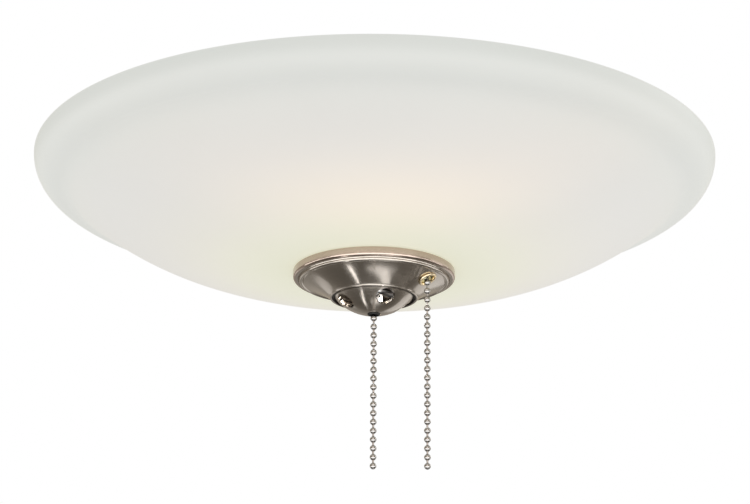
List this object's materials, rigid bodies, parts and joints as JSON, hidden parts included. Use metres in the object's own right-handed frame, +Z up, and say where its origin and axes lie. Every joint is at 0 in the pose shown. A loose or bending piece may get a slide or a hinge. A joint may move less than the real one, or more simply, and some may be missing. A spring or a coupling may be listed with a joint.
{
  "type": "ceiling fan light kit",
  "caption": "Opal glass bowl light kit for a ceiling fan, held on a hollow lamp pipe by a coved nickel cap and a pierced dome finial, with bead pull chains.",
  "frame": {"origin": "centre of the fitter pan's top face, which meets the fan", "axes": "+Z up along the lamp pipe into the fan, -Y towards the viewer, +X to the right in the picture"},
  "size_m": [0.336, 0.336, 0.1816],
  "materials": {
    "pan_enamel": "white enamel",
    "fibre": "pressed fibre board",
    "steel": "zinc plate",
    "nickel": "spun brushed nickel",
    "nickel_plate": "bright nickel plate",
    "chain": "bright",
    "brass": "polished",
    "aluminium": "satin",
    "opal_glass": "satin opal",
    "lamp_glass": "frosted",
    "ceramic": "glazed ceramic",
    "gasket": "matt",
    "grommet": "black moulded",
    "phenolic": "moulded",
    "white_lead": "insulation",
    "black_lead": "insulation"
  },
  "bodies": {
    "fixture": {"fitter_pan": "pan_enamel", "socket_plate": "pan_enamel", "heat_shield": "fibre", "pan_screw_1": "steel", "pan_screw_2": "steel", "pan_screw_3": "steel", "lamp_pipe": "steel", "pan_lockwasher": "steel", "pan_locknut": "steel", "bracket_nut": "steel", "clamp_nut": "steel", "socket_bracket": "steel", "socket_1": "ceramic", "socket_2": "ceramic", "socket_3": "ceramic", "socket_shell_1": "nickel_plate", "socket_shell_2": "nickel_plate", "socket_shell_3": "nickel_plate", "socket_contact_1": "brass", "socket_contact_2": "brass", "socket_contact_3": "brass", "socket_screw_1": "steel", "socket_screw_2": "steel", "socket_screw_3": "steel", "clamp_plate": "steel", "upper_gasket": "gasket", "switch_case": "phenolic", "switch_lid": "fibre", "switch_bushing": "nickel_plate", "switch_nut": "nickel_plate", "switch_spring": "steel", "terminal_block": "ceramic", "socket_lead_1": "white_lead", "socket_lead_2": "white_lead", "socket_lead_3": "white_lead", "switch_lead_1": "black_lead", "switch_lead_2": "black_lead"},
    "bowl": {"glass_bowl": "opal_glass", "lower_gasket": "gasket", "bottom_cap": "nickel", "chain_eyelet": "brass", "cap_washer": "steel"},
    "finial": {"finial": "nickel", "finial_hub": "nickel_plate", "outlet_grommet": "grommet"},
    "lamp_1": {"lamp_base_1": "aluminium", "lamp_globe_1": "lamp_glass"},
    "lamp_2": {"lamp_base_2": "aluminium", "lamp_globe_2": "lamp_glass"},
    "lamp_3": {"lamp_base_3": "aluminium", "lamp_globe_3": "lamp_glass"},
    "light_pull": {"light_chain_inner": "chain"},
    "light_chain_top": {"light_chain_upper": "chain"},
    "light_chain_end": {"light_chain_lower": "chain"},
    "fan_pull": {"fan_chain_inner": "chain", "fan_chain_coupling": "brass"},
    "fan_chain_top": {"fan_chain_upper": "chain"},
    "fan_chain_end": {"fan_chain_lower": "chain"},
    "rotor": {"switch_rotor": "phenolic"}
  },
  "joints": [
    {"name": "bowl_lower", "type": "slide", "parent": "fixture", "child": "bowl", "axis": [0, 0, -1], "range_m": [0, 0.0047]},
    {"name": "finial_turn", "type": "hinge", "parent": "bowl", "child": "finial", "pos_m": [0, 0, -0.0857], "axis": [0, 0, -1], "range_deg": [0, 1801]},
    {"name": "lamp_1_out", "type": "slide", "parent": "fixture", "child": "lamp_1", "axis": [0.8508, 0.5255, 0], "range_m": [0, 0.011]},
    {"name": "lamp_2_out", "type": "slide", "parent": "fixture", "child": "lamp_2", "axis": [-0.8805, 0.4741, 0], "range_m": [0, 0.011]},
    {"name": "lamp_3_out", "type": "slide", "parent": "fixture", "child": "lamp_3", "axis": [0.0297, -0.9996, 0], "range_m": [0, 0.011]},
    {"name": "light_pull", "type": "slide", "parent": "fixture", "child": "light_pull", "axis": [0, 0, -1], "range_m": [0, 0.008], "stiffness_N_per_m": 300, "springref_m": -0.012},
    {"name": "light_swing", "type": "hinge", "parent": "light_pull", "child": "light_chain_top", "pos_m": [0.0258, -0.01389, -0.08835], "axis": [0, 1, 0], "range_deg": [-45, 45]},
    {"name": "light_bend", "type": "hinge", "parent": "light_chain_top", "child": "light_chain_end", "pos_m": [0.0258, -0.01389, -0.13185], "axis": [1, 0, 0], "range_deg": [-45, 45]},
    {"name": "fan_pull", "type": "slide", "parent": "fixture", "child": "fan_pull", "axis": [0, 0, -1], "range_m": [0, 0.008], "stiffness_N_per_m": 300, "springref_m": -0.012},
    {"name": "fan_swing", "type": "hinge", "parent": "fan_pull", "child": "fan_chain_top", "pos_m": [0, 0, -0.098], "axis": [0, 1, 0], "range_deg": [-45, 45]},
    {"name": "fan_bend", "type": "hinge", "parent": "fan_chain_top", "child": "fan_chain_end", "pos_m": [0, 0, -0.12845], "axis": [1, 0, 0], "range_deg": [-45, 45]},
    {"name": "switch_turn", "type": "hinge", "parent": "fixture", "child": "rotor", "pos_m": [0.02272, -0.01961, -0.0119], "axis": [-0.8805, 0.4741, 0], "range_deg": [0, 91]}
  ],
  "couplings": [
    {"joint": "finial_turn", "follows": "bowl_lower", "rad_per_m": 6684.2},
    {"joint": "switch_turn", "follows": "light_pull", "rad_per_m": 196.35}
  ]
}
